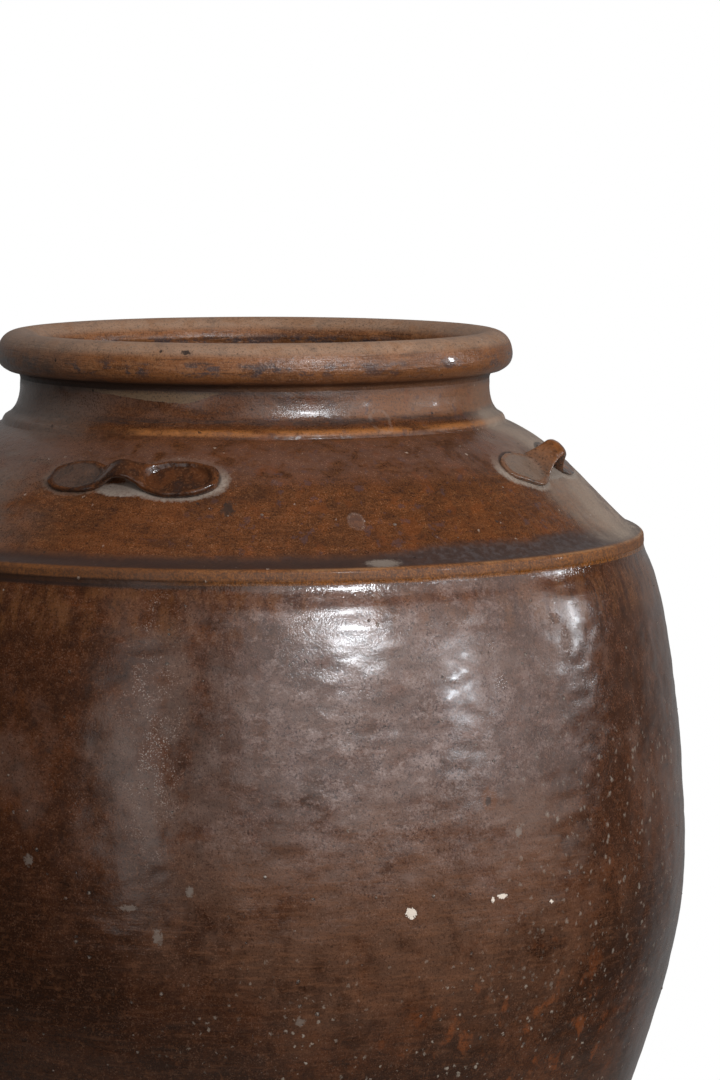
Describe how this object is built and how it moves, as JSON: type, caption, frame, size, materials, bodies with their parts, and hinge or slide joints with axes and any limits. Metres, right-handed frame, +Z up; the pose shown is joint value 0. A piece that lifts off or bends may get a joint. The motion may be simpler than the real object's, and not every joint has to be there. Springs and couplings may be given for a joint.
{
  "type": "ceramic urn",
  "caption": "Large round stoneware storage jar with a rolled rim, short neck, sloping shoulder with strap lugs, a raised cordon and a swelling body.",
  "frame": {"origin": "centre of the foot, on the floor", "axes": "+Z up along the jar's axis, -Y through the front lug, +X to the right of the front lug seen from the front"},
  "size_m": [0.5268, 0.5268, 0.62],
  "materials": {
    "bare_foot": "unglazed, rough fired clay",
    "lower_glaze": "dark brown glaze with throwing streaks",
    "body_glaze": "mottled brown glaze, glossy, with kiln haze",
    "cordon_glaze": "thin orange-brown glaze on the edge",
    "shoulder_glaze": "mottled brown glaze",
    "neck_glaze": "glossy brown glaze",
    "rim_glaze": "worn, drier brown glaze",
    "lug_glaze": "brown glaze, pale at the pressed edges"
  },
  "bodies": {
    "root": {"base_slab": "bare_foot", "lower_wall": "lower_glaze", "upper_wall": "body_glaze", "shoulder_cordon": "cordon_glaze", "shoulder": "shoulder_glaze", "neck_collar": "neck_glaze", "rolled_rim": "rim_glaze", "lug_front": "lug_glaze", "lug_right": "lug_glaze", "lug_back": "lug_glaze", "lug_left": "lug_glaze"}
  },
  "joints": []
}
